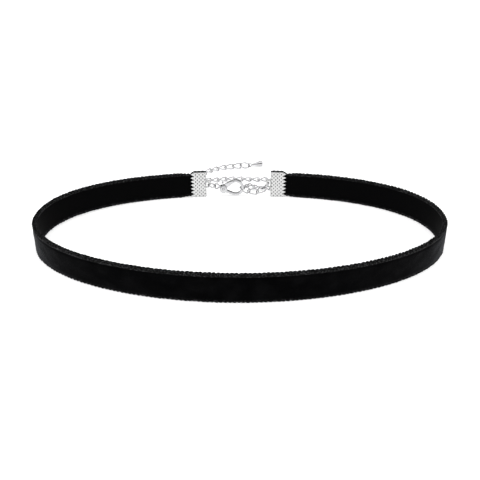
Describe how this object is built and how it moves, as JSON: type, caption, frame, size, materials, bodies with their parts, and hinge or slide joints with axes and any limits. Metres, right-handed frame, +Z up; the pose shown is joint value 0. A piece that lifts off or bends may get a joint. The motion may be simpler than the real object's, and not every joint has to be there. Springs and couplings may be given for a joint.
{
  "type": "choker necklace",
  "caption": "Velvet ribbon choker in a closed oval, standing on its edge, with toothed metal ribbon ends, lobster clasp, and a loose extension chain ending in a drop",
  "frame": {"origin": "centre of the footprint of the whole choker and its loose chain, on the surface that it stands on", "axes": "+X along the long way of the oval, +Y from the throat side to the clasp side, +Z up across the ribbon's width"},
  "size_m": [0.1478, 0.1084, 0.011],
  "materials": {
    "velvet": "black velvet pile with a woven rim",
    "plated_metal": "bright rhodium-coloured plating"
  },
  "bodies": {
    "root": {"velvet_ribbon": "velvet", "ribbon_clamp_left": "plated_metal", "ribbon_clamp_right": "plated_metal", "jump_ring_left": "plated_metal", "clasp_body": "plated_metal", "clasp_pin": "plated_metal", "jump_ring_right": "plated_metal", "chain_link_01": "plated_metal", "chain_link_02": "plated_metal", "chain_link_03": "plated_metal", "chain_link_04": "plated_metal", "chain_link_05": "plated_metal", "chain_link_06": "plated_metal", "chain_link_07": "plated_metal", "chain_link_08": "plated_metal", "chain_link_09": "plated_metal", "chain_link_10": "plated_metal", "chain_link_11": "plated_metal", "chain_link_12": "plated_metal", "chain_link_13": "plated_metal", "chain_link_14": "plated_metal", "chain_link_15": "plated_metal", "chain_link_16": "plated_metal", "chain_link_17": "plated_metal", "chain_link_18": "plated_metal", "chain_link_19": "plated_metal", "chain_link_20": "plated_metal", "chain_link_21": "plated_metal", "chain_link_22": "plated_metal", "chain_link_23": "plated_metal", "chain_link_24": "plated_metal", "chain_link_25": "plated_metal", "chain_link_26": "plated_metal", "end_ring": "plated_metal", "end_drop": "plated_metal"},
    "lever": {"clasp_lever": "plated_metal"}
  },
  "joints": [
    {"name": "lever_hinge", "type": "hinge", "parent": "root", "child": "lever", "pos_m": [-0.00662, 0.02266, 0.00378], "axis": [0, 1, 0], "range_deg": [0, 25], "stiffness_Nm_per_rad": 0.002, "springref_deg": -11.46}
  ]
}
